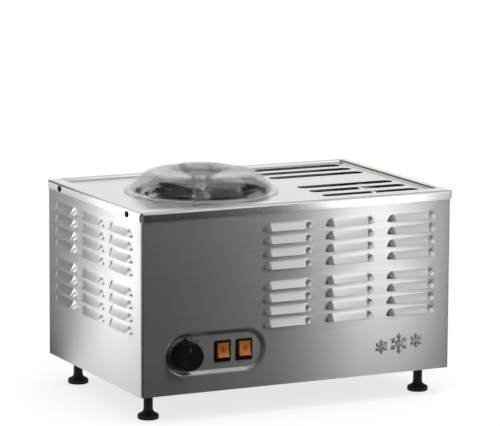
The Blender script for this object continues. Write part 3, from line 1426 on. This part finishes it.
# ------------------------------------------------------------------------------ refrigeration and electrics
@dataclass
class Refrigeration(Assembly):
    """Compressor on its grommets, finned condenser, fan and the copper pipework."""

    comp: Point2 = (130.0, -62.0)
    fin_count: int = 44
    fin_half: float = 0.25
    fin_span: Point2 = (69.5, 198.5)
    tube_y: float = 67.0
    tube_r: float = 3.1
    fan_at: Point = (134.0, 0.0, 112.0)
    fan_blades: int = 5

    def build(self) -> None:
        """Builds the refrigerating plant."""
        self.compressor()
        self.condenser()
        self.fan()
        self.dress("fan_shroud", self.fin.enamel)
        self.dress("fan_motor", self.fin.enamel, 0.8)
        for name in ("filter_drier", "discharge_pipe", "liquid_pipe", "capillary_tube", "suction_pipe"):
            self.dress(name, self.fin.copper)
        for i in range(1, 5):
            self.dress(f"compressor_grommet_{i}", self.fin.rubber, 0.8)
        self.dress("terminal_block", self.fin.white, 0.8)
        self.dress("run_capacitor", self.fin.aluminium, 0.8)
        self.dress("wire_loom", self.fin.sleeve)

    def compressor(self) -> None:
        """Builds the welded can, its foot plate and its terminal cover."""
        d = MeshDraft()
        can = [(0.0, 41.0)] + smooth_line([(12.0, 41.2), (28.0, 42.6), (42.0, 47.4), (49.5, 56.0),
                                           (52.0, 68.0), (52.0, 90.0), (52.0, 112.4)], 4)
        can += [(53.9, 113.2), (54.5, 114.0), (54.5, 117.6), (53.9, 118.4), (51.2, 119.2)]
        can += smooth_line([(51.0, 124.0), (51.0, 142.0), (50.2, 154.0), (46.0, 167.0), (38.0, 177.4),
                            (26.0, 184.0), (12.0, 186.8), (0.0, 187.0)], 4)
        d.turned(can, self.comp, 72)
        cx, cy = self.comp
        d.prism([(cx + x, cy + y) for x, y, _ in rounded_rect(-64.0, 64.0, -50.0, 50.0, 12.0, 0.0, 5)],
                48.0, 50.6)
        cover = MeshDraft()
        cover.prism([(cx + x, cy + y) for x, y, _ in rounded_rect(49.0, 66.0, -16.0, 16.0, 3.0, 0.0, 4)],
                    80.0, 112.0)
        d.add(cover)
        self.place(d.build("compressor_can", self.fin.enamel, bevel=0.6, smooth_deg=42.0), "case", "paint",
                   "compressor")

    def condenser(self) -> None:
        """Builds the fin pack, end plates and return bends."""
        d = MeshDraft()
        (first, last), half = self.fin_span, self.fin_half
        for k in range(self.fin_count):
            x = first + (last - first) * k / (self.fin_count - 1)
            d.prism([(x - half, 54.2), (x + half, 54.2), (x + half, 79.8), (x - half, 79.8)], 44.0, 180.0)
        for x in (66.0, 200.5):
            d.prism([(x, 52.2), (x + 1.5, 52.2), (x + 1.5, 81.8), (x, 81.8)], 40.2, 181.8)
        self.place(d.build("condenser_fins", self.fin.aluminium, weld=0.00001), "case", "alu", "condenser")
        for k in range(4):
            z = 62.0 + 30.0 * k
            turns = [math.radians(-90.0 + 22.5 * i) for i in range(9)]
            bend = [(201.6 + 9.0 * math.cos(a), self.tube_y, z + 7.5 * math.sin(a)) for a in turns]
            line = [(199.0, self.tube_y, z - 7.5)] + bend + [(199.0, self.tube_y, z + 7.5)]
            self.place(sweep(f"condenser_bend_{k + 1}", line, self.tube_r, self.fin.copper), "case", "copper")
            for j, dz in enumerate((-7.5, 7.5)):
                line = [(x, self.tube_y, z + dz) for x in (67.0, 110.0, 160.0, 199.5)]
                tube = sweep(f"condenser_tube_{k + 1}_{j + 1}", line, self.tube_r, self.fin.copper)
                self.place(tube, "case", "copper")

    def fan(self) -> None:
        """Builds the moulded axial fan."""
        d = MeshDraft()
        d.turned([(0.0, -111.1), (11.6, -111.1), (12.6, -110.4), (13.5, -108.6), (13.5, -92.6),
                  (12.9, -91.2), (11.4, -90.2), (0.0, -90.0)], (0.0, 0.0), 48)
        hub = d.moved(UPRIGHT)
        for k in range(self.fan_blades):
            blade = MeshDraft()
            rows: list[list[list[int]]] = []
            for i in range(9):
                t = i / 8
                radius = 11.0 + 41.8 * t
                twist = math.radians(40.0 - 20.0 * t)
                chord = 22.0 + 6.0 * math.sin(math.pi * t * 0.8)
                sweep_by = 6.0 * t * t
                pair = []
                for side in (-0.7, 0.7):
                    row = []
                    for j in range(9):
                        u = (j / 8 - 0.5) * chord + sweep_by
                        bow = 1.6 * (1.0 - (2.0 * j / 8 - 1.0) ** 2)
                        thin = 1.0 - 0.5 * abs(2.0 * j / 8 - 1.0)
                        px = u * math.cos(twist) - (bow + side * thin) * math.sin(twist)
                        py = u * math.sin(twist) + (bow + side * thin) * math.cos(twist)
                        limit = math.sqrt(max(0.0, 53.2 ** 2 - px * px))
                        row.append((px, 100.0 + max(-6.6, min(8.6, py)), min(radius, limit)))
                    pair.append(blade.ring(row))
                rows.append(pair)
            for a, b in zip(rows, rows[1:]):
                blade.bridge(a[0], b[0], closed=False)
                blade.bridge(b[1], a[1], closed=False)
                for end in (0, -1):
                    blade.face([a[0][end], b[0][end], b[1][end], a[1][end]])
            for pair in (rows[0], rows[-1]):
                blade.bridge(pair[0], pair[1], closed=False)
            hub.add(blade.moved(Euler((0.0, math.radians(360.0 / self.fan_blades * k), 0.0))))
        obj = hub.moved(None, self.fan_at).build("fan_blades", self.fin.white, weld=0.0005)
        self.place(obj, "fan", "white", "fan_rotor")


# ------------------------------------------------------------------------------ studio
@dataclass(frozen=True)
class StudioSheet:
    """One plain flat sheet that only reflections see: a soft box if it glows, a black flag if not."""

    name: str
    corners: tuple[Point, Point, Point, Point]
    glow: float = 0.0


def standing(name: str, a: Point2, b: Point2, low: float, high: float, glow: float) -> StudioSheet:
    """A sheet that stands upright over the floor line a to b, in metres."""
    return StudioSheet(name, ((*a, low), (*b, low), (*b, high), (*a, high)), glow)


def lying(name: str, *plan: Point2) -> StudioSheet:
    """A black flag that lies on the floor, in metres."""
    return StudioSheet(name, tuple((x, y, 0.004) for x, y in plan))


SHEETS = (
    standing("softbox_front_right", (0.70, -1.40), (0.83, -1.335), 0.0, 0.6, 4.6),
    StudioSheet("softbox_high_right",
                ((0.56, -1.6, 0.8), (1.35, -1.3, 0.8), (1.29, -1.1, 1.8), (0.5, -1.4, 1.8)), 1.5),
    standing("softbox_right", (1.4, -0.9), (1.4, 0.1), 0.0, 0.9, 1.3),
    standing("softbox_left_rear", (-0.42, 0.26), (-0.42, 0.42), 0.03, 0.6, 2.6),
    StudioSheet("softbox_high_left",
                ((-1.05, 1.05, 0.8), (-0.6, 1.65, 0.8), (-0.5, 1.5, 1.8), (-0.95, 0.9, 1.8)), 1.4),
    standing("softbox_far_left", (-1.05, 0.2), (-1.05, 0.6), 0.15, 0.9, 2.0),
    standing("softbox_front_left", (-0.35, -2.6), (0.5, -2.6), 1.0, 2.1, 0.5),
    StudioSheet("softbox_overhead",
                ((-0.45, -1.5, 2.0), (1.5, -1.5, 2.0), (1.5, 1.5, 2.0), (-0.45, 1.5, 2.0)), 0.8),
    standing("softbox_behind", (-0.45, 1.6), (2.0, 1.6), 0.25, 1.3, 1.05),
    lying("flag_front", (-1.2, -0.155), (0.075, -0.155), (2.14, -4.0), (-0.6, -4.0)),
    lying("flag_front_near", (-0.5, -0.156), (0.6, -0.156), (0.6, -0.45), (-0.5, -0.45)),
    lying("flag_front_right", (0.21, -0.155), (0.6, -0.155), (3.6, -4.0), (2.36, -4.0)),
    lying("flag_left_rear", (-0.25, 0.16), (-0.2, 0.35), (-0.45, 1.9), (-0.823, 1.53)),
)


@dataclass
class Studio:
    """Plain pale floor, soft boxes and flags, plain surroundings and the camera."""

    location: Point = (-1.831, -3.7165, 0.942)
    azimuth: float = -26.214
    elevation: float = 9.663
    roll: float = 0.364
    lens: float = 228.46
    sensor: float = 36.0
    floor_half: float = 8.0
    floor_glow: float = 0.7
    room_level: float = 0.08    # even level that reflections see round the soft boxes and flags
    lamp_at: Point = (0.2, -0.6, 2.4)
    lamp_aim: Point = (0.0, 0.0, 0.2)
    lamp_size: Point2 = (1.4, 1.2)
    lamp_watts: float = 12.0

    def build(self) -> None:
        """Builds the studio."""
        self.floor()
        self.sheets()
        self.surroundings()
        self.lamp()
        self.camera()

    def floor(self) -> None:
        """Lays the plain pale paper floor."""
        # Matt paper lit from below by its own glow: one even pale tone with no shine.
        material, _, _ = fresh_material(
            "floor_paper", Base_Color=srgb("999999"), Roughness=0.9, Specular_IOR_Level=0.0,
            Emission_Color=srgb("FFFFFF"), Emission_Strength=self.floor_glow)
        h = self.floor_half
        self.sheet("studio_floor", ((-h, -h, 0.0), (h, -h, 0.0), (h, h, 0.0), (-h, h, 0.0)), material)

    def sheet(self, name: str, corners: tuple, material: bpy.types.Material) -> bpy.types.Object:
        """Adds one flat studio sheet that is not part of the machine.

        Args:
            name: the sheet's name.
            corners: its four corners, in metres.
            material: its finish.

        Returns:
            The object.
        """
        mesh = bpy.data.meshes.new(name)
        mesh.from_pydata(corners, [], [(0, 1, 2, 3)])
        mesh.materials.append(material)
        obj = linked(name, mesh)
        return obj

    def sheets(self) -> None:
        """Sets out the soft boxes and flags round the machine; each is one even tone."""
        for plan in SHEETS:
            material, _, _ = fresh_material(
                f"studio_{plan.name}", Base_Color=srgb("000000"), Specular_IOR_Level=0.0,
                Emission_Color=srgb("FBFBF9"), Emission_Strength=plan.glow)
            obj = self.sheet(plan.name, plan.corners, material)
            obj.visible_camera = obj.visible_diffuse = obj.visible_shadow = obj.visible_transmission = False

    def surroundings(self) -> None:
        """Sets the even white surroundings, which reflections see as an even dark room."""
        world = bpy.data.worlds.new("pale_room")
        bpy.context.scene.world = world
        world.use_nodes = True
        tree = world.node_tree
        tree.nodes.clear()
        plain = add_node(tree, "ShaderNodeBackground", Color=srgb("FFFFFF"), Strength=1.0)
        room = add_node(tree, "ShaderNodeBackground", Color=srgb("FFFFFD"), Strength=self.room_level)
        path = add_node(tree, "ShaderNodeLightPath")
        mix = add_node(tree, "ShaderNodeMixShader",
                       {0: path.outputs["Is Glossy Ray"], 1: plain.outputs[0], 2: room.outputs[0]})
        add_node(tree, "ShaderNodeOutputWorld", {"Surface": mix.outputs[0]})

    def lamp(self) -> None:
        """Hangs the one soft overhead lamp and points it at the machine."""
        light = bpy.data.lights.new("overhead", "AREA")
        light.shape = "RECTANGLE"
        light.size, light.size_y = self.lamp_size
        light.energy = self.lamp_watts
        obj = linked("overhead", light)
        obj.location = self.lamp_at
        heading = Vector(self.lamp_aim) - Vector(self.lamp_at)
        obj.rotation_euler = heading.to_track_quat("-Z", "Y").to_euler()
        obj.visible_glossy = False

    def camera(self) -> None:
        """Sets up the camera at the original viewing angle."""
        az, el, roll = (math.radians(v) for v in (self.azimuth, self.elevation, self.roll))
        back = Vector((math.sin(az) * math.cos(el), -math.cos(az) * math.cos(el), math.sin(el)))
        right = (-back).cross(Vector((0.0, 0.0, 1.0))).normalized()
        up = right.cross(-back).normalized()
        right_r = right * math.cos(roll) + up * math.sin(roll)
        up_r = up * math.cos(roll) - right * math.sin(roll)
        data = bpy.data.cameras.new("camera")
        data.lens = self.lens
        data.sensor_width = self.sensor
        data.clip_end = 50.0
        obj = linked("camera", data)
        matrix = obj.matrix_world.copy()
        for row in range(3):
            matrix[row][0], matrix[row][1], matrix[row][2] = right_r[row], up_r[row], back[row]
            matrix[row][3] = self.location[row]
        obj.matrix_world = matrix
        bpy.context.scene.camera = obj


def main() -> None:
    """Builds the dressed machine in order."""
    logging.basicConfig(level=logging.INFO, format="%(message)s")
    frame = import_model()
    bpy.context.scene.view_settings.view_transform = "Standard"
    Studio().build()
    finishes = Finishes()
    for unit in (TopCover, WrapPanel, CaseBack, Controls, BowlUnit, Drive, Lid, Refrigeration):
        LOG.info("building %s", unit.__name__)
        unit(finishes, frame).build()
    bpy.context.view_layer.update()


if __name__ == "__main__":
    main()
